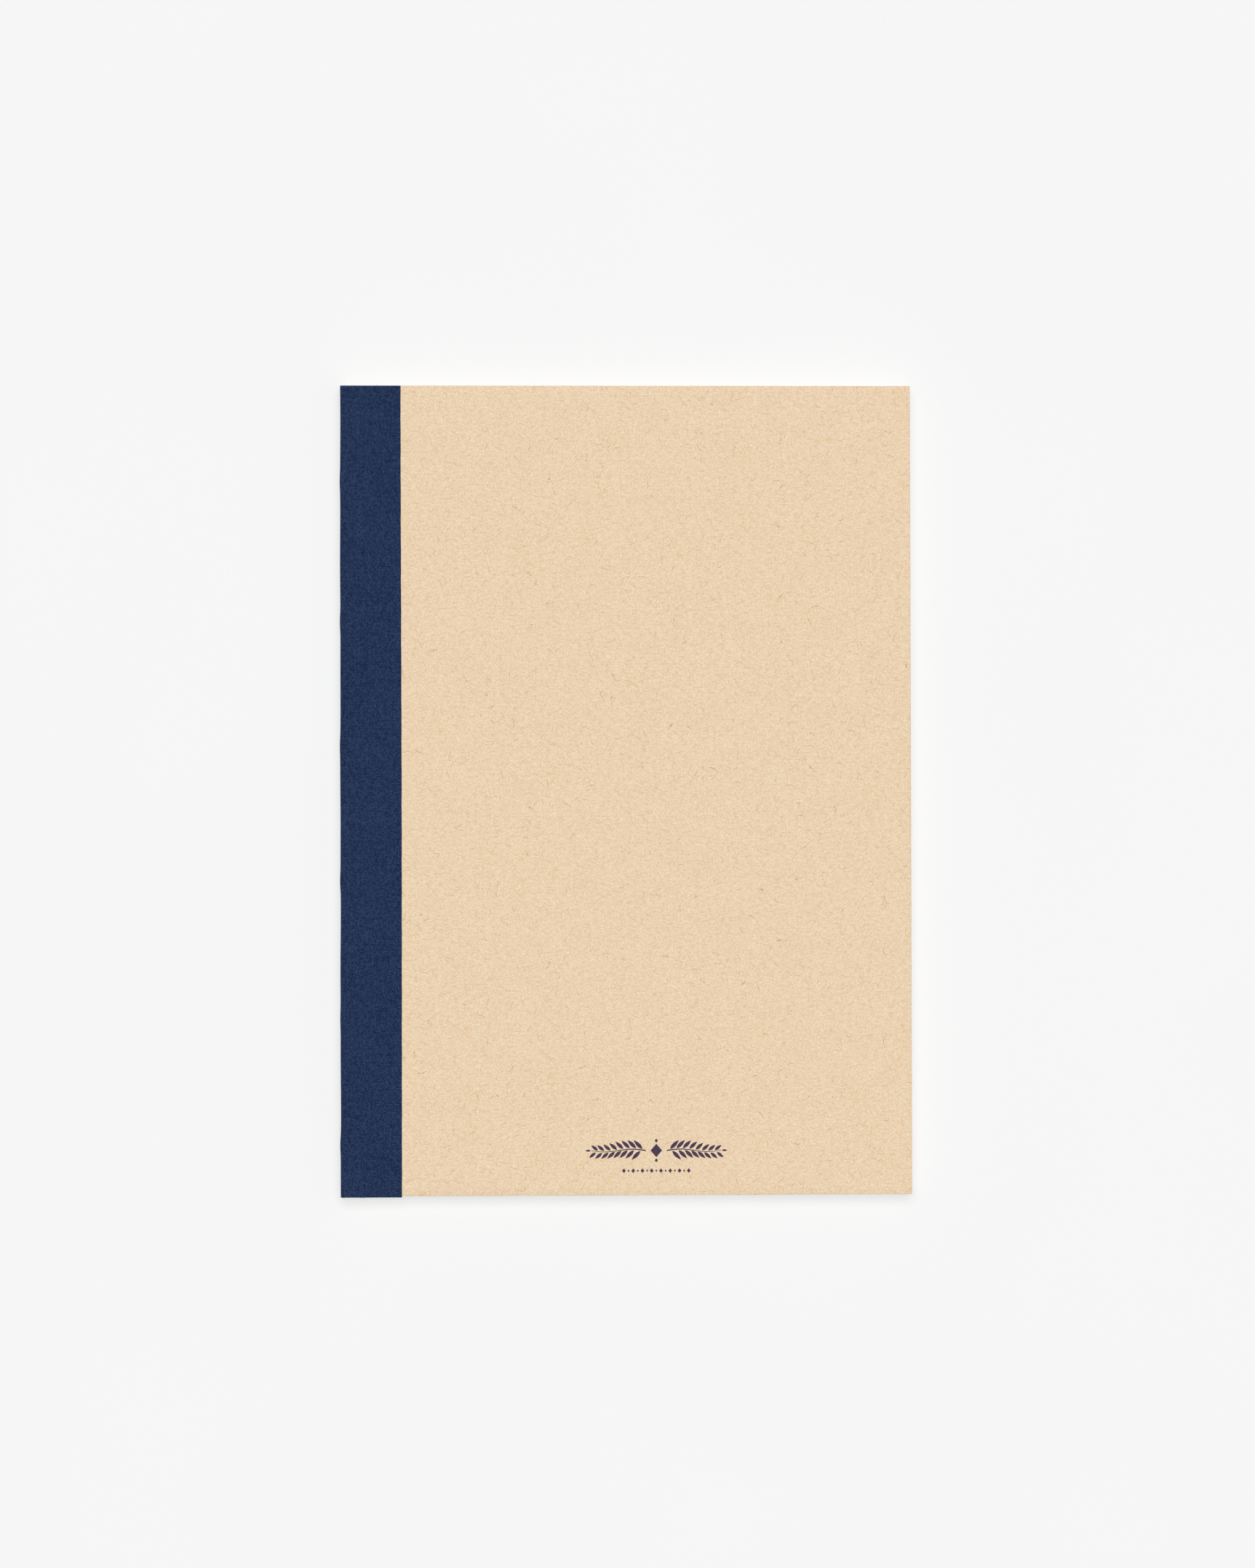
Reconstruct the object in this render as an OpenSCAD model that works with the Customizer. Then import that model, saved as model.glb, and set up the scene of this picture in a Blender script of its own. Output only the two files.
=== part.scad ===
// Slim sewn logbook: kraft card covers, a cloth strip over the spine, seven
// sewn sections of ruled leaves. +Z is up through the thickness, the spine is
// at -X, the fore edge at +X and the head at +Y. The book lies closed on its
// back cover; the origin is the middle of its footprint on that surface.

/* [Book] */
// Width of the closed book, from spine to fore edge
book_w = 148; // [120:1:180]
// Height of the closed book, from tail to head
book_h = 210; // [150:1:260]

/* [Covers] */
// Thickness of the kraft card of each cover
card_t = 0.5; // [0.3:0.05:1.2]
// Thickness of one endpaper, pasted down or loose
end_t = 0.13; // [0.1:0.01:0.2]
// Width of the endpaper's strip glued to the text block at the spine
tip_w = 4.5; // [4:0.5:8]

/* [Spine cloth] */
// Thickness of the cloth with its glue
cloth_t = 0.25; // [0.15:0.05:0.4]
// Width of cloth carried round on to each cover
tape_w = 15.5; // [8:0.5:40]
// How far the cloth is pressed into the card
press_t = 0.1; // [0.05:0.05:0.15]

/* [Spine linings] */
// Thickness of the paper liner under the cloth
liner_t = 0.08; // [0.06:0.01:0.15]
// Thickness of the woven gauze under the liner
mull_t = 0.12; // [0.08:0.01:0.2]
// Thickness of the glue on the folds of the sections
glue_t = 0.1; // [0.05:0.01:0.2]
// Thickness of the thread where it links the sections
link_t = 0.1; // [0.06:0.01:0.15]

/* [Text block] */
// Folded sheets gathered in each section
sheets = 4; // [4:1:6]
// Thickness of one leaf
leaf_t = 0.1; // [0.08:0.005:0.12]
// Air between neighbouring leaves
leaf_air = 0.005; // [0.004:0.001:0.01]
// Air between sections and beside the endpapers
air = 0.01; // [0.01:0.005:0.03]

/* [Sewing] */
// Number of holes through each fold
stations = 6; // [4:2:8]
// Distance between neighbouring holes
station_pitch = 34.4; // [20:0.1:35]
// Shift of all the sewing stations towards the head, mm
station_shift = -6.8; // [-8:0.1:8]
// Diameter of the sewing thread
thread_d = 0.26; // [0.2:0.02:0.3]

/* [Hidden] */

x0 = -book_w / 2;            // outer face of the spine cloth
x1 = book_w / 2;             // fore edge
p = leaf_t + leaf_air;       // leaf to leaf
sec_t = 2 * sheets * p;      // one section
pitch = sec_t + air;         // section to section
skin = cloth_t - press_t + card_t + end_t;    // cloth, card and pastedown
block_t = 7 * sec_t + 6 * air;                // the seven sections
total_t = 2 * skin + 2 * (end_t + 2 * air) + block_t;
zc = total_t / 2;            // the fold at which the book opens
xs = x0 + cloth_t + liner_t + mull_t + glue_t + link_t; // back of the folds
xf = xs + sheets * p;        // centre of each fold's round
leaf_x = x0 + 1.6;           // inner edge of the middle leaves
block_z0 = skin + end_t + 2 * air;            // underside of the text block
block_z1 = total_t - block_z0;                // top of the text block

kraft = [0.92, 0.82, 0.69];
navy = [0.15, 0.21, 0.33];
cream = [0.95, 0.93, 0.87];
white = [0.97, 0.96, 0.92];
gauze = [0.88, 0.86, 0.80];
glue_c = [0.85, 0.80, 0.66];

// A flat shape in X and Z, drawn out along the height of the book
module along_y(h = book_h) rotate([90, 0, 0]) linear_extrude(height = h, center = true) children();

// A plate between two X and two Z values, the full height of the book
module plate(xa, xb, za, zb) along_y() translate([xa, za]) square([xb - xa, zb - za]);

function arc(cx, cz, r, a, b, n = 10) = [for (i = [0:n]) [cx + r * cos(a + (b - a) * i / n), cz + r * sin(a + (b - a) * i / n)]];

// Outer and inner fold radius of sheet k, 0 being the outermost
function ro(k) = (sheets - k) * p - leaf_air / 2;
function ri(k) = ro(k) - leaf_t;

// One folded sheet of a section whose fold is centred at height z
module folded_sheet(k, z) along_y() polygon(concat(
  arc(xf, z, ro(k), 90, 270), [[x1, z - ro(k)], [x1, z - ri(k)]],
  arc(xf, z, ri(k), 270, 90), [[x1, z + ri(k)], [x1, z + ro(k)]]));

// The half of sheet k above the fold line, cut just short of it
module half_sheet(k, z) along_y() polygon(concat(
  arc(xf, z, ro(k), 90, 177, 6), arc(xf, z, ri(k), 177, 90, 6),
  [[x1, z + ri(k)], [x1, z + ro(k)]]));

// A whole section: nested folded sheets, each a solid of its own
module section(n) color(cream) for (k = [0:sheets - 1]) folded_sheet(k, zc + (4 - n) * pitch);

// The outer sheets of the middle section on one side of its fold
module middle_outer() for (k = [0:sheets - 3]) half_sheet(k, zc);

// One of the two inner leaves above the fold, k = 1 being next to it
module middle_leaf(k) plate(leaf_x, x1, zc + ri(sheets - k), zc + ro(sheets - k));

// Mirrors a shape made above the fold to the other side of it
module below() translate([0, 0, 2 * zc]) mirror([0, 0, 1]) children();

// The cloth on one cover: a strip on the face, turned down over the card's edge
module cover_cloth() along_y() polygon([
  [x0, total_t - skin], [x0 + cloth_t, total_t - skin], [x0 + cloth_t, total_t - cloth_t],
  [x0 + tape_w, total_t - cloth_t], [x0 + tape_w, total_t], [x0, total_t]]);

// The card, a little thinner where the cloth is pressed into it
module cover_card() along_y() polygon([
  [x0 + cloth_t, total_t - skin + end_t], [x1, total_t - skin + end_t],
  [x1, total_t - cloth_t + press_t], [x0 + tape_w, total_t - cloth_t + press_t],
  [x0 + tape_w, total_t - cloth_t], [x0 + cloth_t, total_t - cloth_t]]);
module pastedown() plate(x0 + cloth_t + 0.05, x1, total_t - skin, total_t - skin + end_t);
module flyleaf() plate(x0 + tip_w, x1, total_t - skin - air - end_t, total_t - skin - air);

// One layer of the spine, counted from the outside
module spine_layer(a, b, za, zb) plate(x0 + a, x0 + b, za, zb);

function station_y(i) = (i - (stations - 1) / 2) * station_pitch + station_shift;

// ---- front cover ----
module front_cover_card() color(kraft) cover_card();
module front_cover_cloth() color(navy) cover_cloth();
module front_pastedown() color(white) pastedown();
module front_flyleaf() color(white) flyleaf();

// ---- text block ----
module section_1() section(1);
module section_2() section(2);
module section_3() section(3);
module section_5() section(5);
module section_6() section(6);
module section_7() section(7);
module middle_section_front() color(cream) middle_outer();
module middle_section_rear() color(cream) below() middle_outer();
module middle_leaf_1() color(cream) middle_leaf(2);
module middle_leaf_2() color(cream) middle_leaf(1);
module middle_leaf_3() color(cream) below() middle_leaf(1);
module middle_leaf_4() color(cream) below() middle_leaf(2);

// Long stitches that lie in the middle fold between pairs of holes
module middle_thread() color(white) for (i = [0:2:stations - 2])
  translate([x0 + 1.12, station_y(i) + 0.5, zc]) rotate([-90, 0, 0])
    cylinder(h = station_pitch - 1, d = thread_d, $fn = 8);

// Loops that tie each section to the next across the back of the folds
module link_stitches() color(white) for (i = [0:stations - 1], n = [1:6])
  translate([xs - link_t, station_y(i) - 0.15 + (n % 2 == 0 ? 0.3 : -0.3), zc + (3.5 - n) * pitch - pitch * 0.45])
    cube([link_t, 0.3, pitch * 0.9]);

// ---- spine ----
module spine_glue() color(glue_c) spine_layer(cloth_t + liner_t + mull_t, cloth_t + liner_t + mull_t + glue_t, block_z0, block_z1);
module spine_mull() color(gauze) spine_layer(cloth_t + liner_t, cloth_t + liner_t + mull_t, block_z0, block_z1);
module spine_liner() color(kraft) spine_layer(cloth_t, cloth_t + liner_t, block_z0, block_z1);
module spine_cloth() color(navy) spine_layer(0, cloth_t, skin + air, total_t - skin - air);

// ---- back cover ----
module back_flyleaf() color(white) below() flyleaf();
module back_pastedown() color(white) below() pastedown();
module back_cover_card() color(kraft) below() cover_card();
module back_cover_cloth() color(navy) below() cover_cloth();

front_cover_card();
front_cover_cloth();
front_pastedown();
front_flyleaf();
section_1();
section_2();
section_3();
middle_section_front();
middle_leaf_1();
middle_leaf_2();
middle_leaf_3();
middle_leaf_4();
middle_section_rear();
section_5();
section_6();
section_7();
middle_thread();
link_stitches();
spine_glue();
spine_mull();
spine_liner();
spine_cloth();
back_flyleaf();
back_pastedown();
back_cover_card();
back_cover_cloth();
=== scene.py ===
import math

import bpy
import numpy as np
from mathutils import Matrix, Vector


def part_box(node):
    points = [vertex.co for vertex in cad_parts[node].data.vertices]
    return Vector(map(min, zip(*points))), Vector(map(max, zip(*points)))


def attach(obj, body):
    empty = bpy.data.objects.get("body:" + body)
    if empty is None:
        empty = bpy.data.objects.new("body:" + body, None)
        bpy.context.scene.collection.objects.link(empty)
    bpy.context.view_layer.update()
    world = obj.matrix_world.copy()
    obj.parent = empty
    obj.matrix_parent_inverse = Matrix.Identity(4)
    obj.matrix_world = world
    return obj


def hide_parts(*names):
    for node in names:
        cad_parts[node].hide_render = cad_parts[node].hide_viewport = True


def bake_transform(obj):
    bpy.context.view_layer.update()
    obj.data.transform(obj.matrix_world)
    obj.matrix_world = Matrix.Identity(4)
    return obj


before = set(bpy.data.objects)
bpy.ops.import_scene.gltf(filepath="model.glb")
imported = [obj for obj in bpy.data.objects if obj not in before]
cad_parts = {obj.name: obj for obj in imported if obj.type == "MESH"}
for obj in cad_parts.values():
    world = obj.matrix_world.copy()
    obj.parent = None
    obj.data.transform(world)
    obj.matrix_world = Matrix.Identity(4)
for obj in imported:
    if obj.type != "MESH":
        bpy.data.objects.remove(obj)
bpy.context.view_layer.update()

MM = 0.001
scene = bpy.context.scene
scene.view_settings.view_transform = "Standard"
scene.view_settings.look = "None"

# ---------------------------------------------------------------- sizes, mm
lo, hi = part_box("front_cover_cloth")
X0, T = lo.x / MM, hi.z / MM                      # outer face of the spine, top of the cloth
X1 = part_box("front_cover_card")[1].x / MM         # fore edge
YH = hi.y / MM                                    # half the height
TAPE = (hi.x - lo.x) / MM                         # cloth carried on to the cover
ZC = T / 2
CARD_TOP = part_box("front_cover_card")[1].z / MM
CARD_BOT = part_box("front_cover_card")[0].z / MM
PD_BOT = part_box("front_pastedown")[0].z / MM
PD_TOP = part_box("front_pastedown")[1].z / MM
FL_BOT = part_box("front_flyleaf")[0].z / MM
FL_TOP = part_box("front_flyleaf")[1].z / MM
CLOTH_T = 0.25
PRESS = CARD_TOP - (T - CLOTH_T)                  # how far the cloth sits into the card
LEAF_T, PITCH_L, AIR = 0.1, 0.105, 0.01
SHEETS = 4
SEC = 2 * SHEETS * PITCH_L
PITCH = SEC + AIR
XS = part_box("section_1")[0].x / MM
XF = XS + SHEETS * PITCH_L
BZ0, BZ1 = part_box("spine_glue")[0].z / MM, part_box("spine_glue")[1].z / MM
STATIONS = [(i - 2.5) * 34.4 - 6.8 for i in range(6)]

rng = np.random.default_rng(41)


def ss(a, b, v):
    t = np.clip((v - a) / (b - a), 0, 1)
    return t * t * (3 - 2 * t)


# ------------------------------------------------- the book's own irregularity
def trim(x, y):
    """The book was not trimmed perfectly square: a few tenths of a millimetre at each corner."""
    u, v = (x - X0) / (X1 - X0), (y + YH) / (2 * YH)
    dx = (1 - v) * ((1 - u) * -0.06 + u * 0.25) + v * ((1 - u) * -0.27 + u * -0.38)
    dy = (1 - v) * ((1 - u) * -0.40 + u * 0.22) + v * ((1 - u) * 0.16 + u * 0.02)
    return dx, dy


def settle(p):
    """Every piece goes through this once: out-of-square trim and a cover that springs up a little at the fore edge."""
    x, y, z = p[:, 0].copy(), p[:, 1].copy(), p[:, 2].copy()
    dx, dy = trim(x, y)
    u = np.clip((x - X0) / (X1 - X0), 0, 1)
    corner = 0.5 + 0.5 * ss(-YH, YH, y)
    rise = 0.16 * ss(0.35, 1.0, u) * corner + 0.02 * np.sin(y / 31.0 + 0.7) * ss(0.2, 0.9, u)
    z = z + np.clip((z - ZC) / (T - ZC), 0, 1) ** 1.5 * np.maximum(rise, 0)
    return np.stack([x + dx, y + dy, z], 1)


# -------------------------------------------------------------- mesh building
def make_object(name, verts_mm, faces, uvs, mat, attr=None, sharp=35):
    me = bpy.data.meshes.new(name)
    me.from_pydata((np.asarray(verts_mm) * MM).tolist(), [], faces)
    me.update()
    layer = me.uv_layers.new(name="UVMap")
    loop_v = np.empty(len(me.loops), np.int64)
    me.loops.foreach_get("vertex_index", loop_v)
    layer.data.foreach_set("uv", (np.asarray(uvs, float) * MM)[loop_v].astype(np.float32).ravel())
    if attr is not None:
        a = me.attributes.new("tone", "FLOAT", "POINT")
        a.data.foreach_set("value", np.asarray(attr, np.float32))
    me.polygons.foreach_set("use_smooth", np.ones(len(me.polygons), bool))
    me.set_sharp_from_angle(angle=math.radians(sharp))
    me.materials.append(mat)
    ob = bpy.data.objects.new(name, me)
    scene.collection.objects.link(ob)
    return ob


def ribbon_data(path, thick, ys, tfun=None, s0=0.0):
    """A closed solid of even thickness along a path in X and Z, drawn along Y.
    The left of the path's direction is its outer side."""
    P = np.asarray(path, float)
    d = np.gradient(P, axis=0)
    seg = np.r_[0, np.cumsum(np.hypot(*np.diff(P, axis=0).T))]
    n = np.stack([-d[:, 1], d[:, 0]], 1)
    n /= np.linalg.norm(n, axis=1)[:, None]
    ys = np.asarray(ys, float)
    I, J = len(P), len(ys)
    S, Y = np.meshgrid(seg, ys, indexing="ij")
    h = np.full((I, J), thick / 2)
    if tfun is not None:
        h = h * tfun(S, Y, seg[-1])
    out = np.stack([P[:, None, 0] + n[:, None, 0] * h, Y, P[:, None, 1] + n[:, None, 1] * h], -1)
    inn = np.stack([P[:, None, 0] - n[:, None, 0] * h, Y, P[:, None, 1] - n[:, None, 1] * h], -1)
    verts = np.concatenate([out.reshape(-1, 3), inn.reshape(-1, 3)])
    uv = np.stack([S + s0, Y], -1).reshape(-1, 2)
    uvs = np.concatenate([uv, uv])
    idx = np.arange(I * J).reshape(I, J)
    a, b, c, e = idx[:-1, :-1], idx[1:, :-1], idx[1:, 1:], idx[:-1, 1:]
    N = I * J
    faces = []
    faces += np.stack([a, b, c, e], -1).reshape(-1, 4).tolist()
    faces += (np.stack([a, e, c, b], -1) + N).reshape(-1, 4).tolist()
    i0, i1 = idx[:, 0], idx[:, -1]
    faces += np.stack([i0[:-1], i0[:-1] + N, i0[1:] + N, i0[1:]], -1).tolist()
    faces += np.stack([i1[:-1], i1[1:], i1[1:] + N, i1[:-1] + N], -1).tolist()
    j0, j1 = idx[0, :], idx[-1, :]
    faces += np.stack([j0[:-1], j0[1:], j0[1:] + N, j0[:-1] + N], -1).tolist()
    faces += np.stack([j1[:-1], j1[:-1] + N, j1[1:] + N, j1[1:]], -1).tolist()
    return verts, faces, uvs


def ribbon(name, path, thick, ys, mat, tfun=None, s0=0.0, extra=None, tone=None, sharp=35):
    v, f, u = ribbon_data(path, thick, ys, tfun, s0)
    if extra is not None:
        v = extra(v)
    return make_object(name, settle(v), f, u, mat, None if tone is None else np.full(len(v), tone), sharp)


def join_data(parts):
    V, F, U, A, n = [], [], [], [], 0
    for v, f, u, a in parts:
        V.append(v), U.append(u), A.append(np.full(len(v), a))
        F += [[k + n for k in q] for q in f]
        n += len(v)
    return np.concatenate(V), F, np.concatenate(U), np.concatenate(A)


def line(xa, xb, z, n):
    return [(xa + (xb - xa) * i / n, z) for i in range(n + 1)]


def fine(a, b, step, edge=0.12):
    """Even stations from a to b, with two close ones at each end so that edges can be eased."""
    n = max(2, int(round((b - a) / step)))
    mid = np.linspace(a, b, n + 1)[1:-1]
    return np.r_[a, a + edge * 0.4, a + edge, mid, b - edge, b - edge * 0.4, b]


def arc(cx, cz, r, a, b, n=14):
    t = np.radians(np.linspace(a, b, n + 1))
    return [(cx + r * math.cos(k), cz + r * math.sin(k)) for k in t]


def mirror_path(path):
    """The same path on the back half, direction reversed so that outside stays outside."""
    return [(x, 2 * ZC - z) for x, z in path][::-1]


# ---------------------------------------------------------- shader node helper
class Mat:
    def __init__(self, name):
        self.m = bpy.data.materials.new(name)
        self.m.use_nodes = True
        self.nt = self.m.node_tree
        self.nt.nodes.clear()
        self.out = self.n("ShaderNodeOutputMaterial")
        self.bsdf = self.n("ShaderNodeBsdfPrincipled")
        self.nt.links.new(self.bsdf.outputs[0], self.out.inputs[0])

    def n(self, kind, **props):
        node = self.nt.nodes.new(kind)
        for k, v in props.items():
            setattr(node, k, v)
        return node

    def put(self, socket, value):
        if isinstance(value, bpy.types.NodeSocket):
            self.nt.links.new(value, socket)
        else:
            socket.default_value = value

    def math(self, op, a, b=0.0, c=None, clamp=False):
        node = self.n("ShaderNodeMath", operation=op, use_clamp=clamp)
        self.put(node.inputs[0], a)
        self.put(node.inputs[1], b)
        if c is not None:
            self.put(node.inputs[2], c)
        return node.outputs[0]

    def add(self, a, b): return self.math("ADD", a, b)
    def sub(self, a, b): return self.math("SUBTRACT", a, b)
    def mul(self, a, b): return self.math("MULTIPLY", a, b)
    def absv(self, a): return self.math("ABSOLUTE", a)

    def smooth(self, v, a, b, lo=0.0, hi=1.0):
        node = self.n("ShaderNodeMapRange", interpolation_type="SMOOTHSTEP", clamp=True)
        self.put(node.inputs["Value"], v)
        node.inputs["From Min"].default_value = a
        node.inputs["From Max"].default_value = b
        node.inputs["To Min"].default_value = lo
        node.inputs["To Max"].default_value = hi
        return node.outputs[0]

    def linear(self, v, a, b, lo=0.0, hi=1.0):
        node = self.n("ShaderNodeMapRange", clamp=False)
        self.put(node.inputs["Value"], v)
        node.inputs["From Min"].default_value = a
        node.inputs["From Max"].default_value = b
        node.inputs["To Min"].default_value = lo
        node.inputs["To Max"].default_value = hi
        return node.outputs[0]

    def uv_mm(self):
        node = self.n("ShaderNodeUVMap", uv_map="UVMap")
        return self.vscale(node.outputs[0], 1000.0)

    def object_mm(self):
        node = self.n("ShaderNodeTexCoord")
        return self.vscale(node.outputs["Object"], 1000.0)

    def vscale(self, v, k):
        node = self.n("ShaderNodeVectorMath", operation="SCALE")
        self.put(node.inputs[0], v)
        node.inputs["Scale"].default_value = k
        return node.outputs[0]

    def vop(self, op, a, b):
        node = self.n("ShaderNodeVectorMath", operation=op)
        self.put(node.inputs[0], a)
        self.put(node.inputs[1], b)
        return node.outputs[0]

    def xyz(self, v):
        node = self.n("ShaderNodeSeparateXYZ")
        self.put(node.inputs[0], v)
        return node.outputs

    def vec(self, x, y, z=0.0):
        node = self.n("ShaderNodeCombineXYZ")
        self.put(node.inputs[0], x)
        self.put(node.inputs[1], y)
        self.put(node.inputs[2], z)
        return node.outputs[0]

    def noise(self, v, scale, detail=2.0, rough=0.5, dims="2D", distortion=0.0):
        node = self.n("ShaderNodeTexNoise", noise_dimensions=dims)
        self.put(node.inputs["Vector"], v)
        node.inputs["Scale"].default_value = scale
        node.inputs["Detail"].default_value = detail
        node.inputs["Roughness"].default_value = rough
        node.inputs["Distortion"].default_value = distortion
        return node.outputs

    def white(self, v, dims="1D"):
        node = self.n("ShaderNodeTexWhiteNoise", noise_dimensions=dims)
        if dims == "1D":
            self.put(node.inputs["W"], v)
        else:
            self.put(node.inputs["Vector"], v)
        return node.outputs["Value"]

    def mix(self, f, a, b, blend="MIX"):
        node = self.n("ShaderNodeMix", data_type="RGBA", blend_type=blend, clamp_factor=True)
        self.put(node.inputs[0], f)
        for sock, val in ((node.inputs[6], a), (node.inputs[7], b)):
            self.put(sock, val if isinstance(val, bpy.types.NodeSocket) else (*val, 1.0))
        return node.outputs[2]

    def fibres(self, uv, cell, length, width, share, seed, wiggle=0.5):
        """Short curved hairs, one at most to a cell: 1 on a hair and 0 off it, fading at its ends."""
        off = self.vop("ADD", uv, (seed * 17.31, seed * 9.77, 0))
        wob = self.noise(off, 0.9, 1.0)[1]
        wob = self.vop("SUBTRACT", wob, (0.5, 0.5, 0.5))
        p = self.vop("ADD", off, self.vscale(wob, wiggle))
        vor = self.n("ShaderNodeTexVoronoi", voronoi_dimensions="2D", feature="F1")
        self.put(vor.inputs["Vector"], p)
        vor.inputs["Scale"].default_value = 1.0 / cell
        vor.inputs["Randomness"].default_value = 1.0
        d = self.xyz(self.vop("SUBTRACT", p, vor.outputs["Position"]))
        col = self.n("ShaderNodeSeparateColor")
        self.nt.links.new(vor.outputs["Color"], col.inputs[0])
        r, g, b = col.outputs[0], col.outputs[1], col.outputs[2]
        ang = self.mul(r, math.pi * 2)
        c, s = self.math("COSINE", ang), self.math("SINE", ang)
        X = self.add(self.mul(d[0], c), self.mul(d[1], s))
        Y = self.sub(self.mul(d[1], c), self.mul(d[0], s))
        bend = self.mul(self.sub(b, 0.5), 1.6 / length)
        Y = self.add(Y, self.mul(bend, self.mul(X, X)))
        across = self.smooth(self.absv(Y), width * 0.35, width, 1.0, 0.0)
        half = self.linear(g, 0.0, 1.0, 0.25 * length, 0.5 * length)
        along = self.smooth(self.math("DIVIDE", self.absv(X), half), 0.55, 1.0, 1.0, 0.0)
        there = self.math("GREATER_THAN", self.math("FRACT", self.mul(self.add(r, g), 7.13)), 1.0 - share)
        return self.mul(self.mul(across, along), there)

    def bump(self, height, distance, strength=1.0, normal=None):
        node = self.n("ShaderNodeBump")
        node.inputs["Strength"].default_value = strength
        node.inputs["Distance"].default_value = distance
        self.put(node.inputs["Height"], height)
        if normal is not None:
            self.put(node.inputs["Normal"], normal)
        return node.outputs[0]

    def finish(self, color=None, rough=None, normal=None, **fixed):
        if color is not None:
            self.put(self.bsdf.inputs["Base Color"], color if isinstance(color, bpy.types.NodeSocket) else (*color, 1.0))
        if rough is not None:
            self.put(self.bsdf.inputs["Roughness"], rough)
        if normal is not None:
            self.put(self.bsdf.inputs["Normal"], normal)
        for k, v in fixed.items():
            self.bsdf.inputs[k.replace("_", " ")].default_value = v
        return self.m


# ------------------------------------------------------------------ materials
def kraft_material(name, warm=1.0):
    m = Mat(name)
    uv = m.uv_mm()
    base = (0.835, 0.655, 0.455)
    # cloudy formation of the sheet, streaks of the machine direction, then finer grain
    cloud = m.noise(uv, 0.13, 3.0, 0.55)[0]
    form = m.noise(uv, 0.62, 3.0, 0.6)[0]
    grain = m.noise(uv, 2.3, 4.0, 0.75)[0]
    streak = m.noise(m.vop("MULTIPLY", uv, (0.5, 1.5, 1.0)), 1.15, 4.0, 0.72)[0]
    tint = m.noise(m.vop("ADD", m.vop("MULTIPLY", uv, (0.7, 1.3, 1.0)), (31.0, 7.0, 0.0)), 0.9, 4.0, 0.75)[0]
    col = m.mix(m.smooth(cloud, 0.3, 0.7), (0.8305, 0.6585, 0.4660), (0.8585, 0.6915, 0.5005))
    col = m.mix(m.smooth(form, 0.32, 0.72, 0.0, 0.46), col, (0.785, 0.590, 0.385))
    col = m.mix(m.smooth(grain, 0.47, 0.62, 0.0, 0.76), col, (0.900, 0.755, 0.560))
    col = m.mix(m.smooth(grain, 0.51, 0.36, 0.0, 0.74), col, (0.745, 0.555, 0.355))
    col = m.mix(m.smooth(streak, 0.51, 0.68, 0.0, 0.80), col, (0.755, 0.556, 0.345))
    col = m.mix(m.smooth(tint, 0.53, 0.68, 0.0, 0.55), col, (0.800, 0.580, 0.360))
    # fine hairs everywhere, longer ones here and there, a few orange or dark ones
    f1 = m.fibres(uv, 0.95, 1.25, 0.085, 0.8, 1)
    f2 = m.fibres(uv, 1.35, 1.9, 0.09, 0.7, 2)
    f2b = m.fibres(uv, 1.5, 2.1, 0.08, 0.6, 9)
    f3 = m.fibres(uv, 3.1, 2.8, 0.085, 0.40, 3, 0.9)
    f4 = m.fibres(uv, 6.4, 3.2, 0.10, 0.34, 4, 1.1)
    f5 = m.fibres(uv, 1.8, 1.8, 0.08, 0.5, 5)
    f6 = m.fibres(uv, 4.3, 1.7, 0.15, 0.40, 11, 0.5)
    speck = m.fibres(uv, 6.2, 0.55, 0.13, 0.20, 6, 0.1)
    dark = m.fibres(uv, 24.0, 0.9, 0.11, 0.35, 7, 0.2)
    col = m.mix(m.mul(f1, 0.40), col, (0.72, 0.475, 0.265))
    col = m.mix(m.mul(f2, 0.44), col, (0.69, 0.430, 0.220))
    col = m.mix(m.mul(f2b, 0.40), col, (0.70, 0.450, 0.240))
    col = m.mix(m.mul(f5, 0.65), col, (0.93, 0.80, 0.62))
    col = m.mix(m.mul(f3, 0.64), col, (0.62, 0.340, 0.145))
    col = m.mix(m.mul(f6, 0.62), col, (0.80, 0.440, 0.180))
    col = m.mix(m.mul(f4, 0.74), col, (0.56, 0.300, 0.120))
    col = m.mix(m.mul(speck, 0.42), col, (0.44, 0.270, 0.150))
    col = m.mix(m.mul(dark, 0.65), col, (0.22, 0.145, 0.095))
    relief = m.add(m.mul(grain, 0.5), m.mul(m.add(f2, f3), 0.6))
    relief = m.add(relief, m.mul(form, 0.8))
    nrm = m.bump(relief, 0.00002, 0.5)
    rough = m.linear(grain, 0.3, 0.7, 0.82, 0.93)
    return m.finish(col, rough, nrm, Specular_IOR_Level=0.18)


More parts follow.
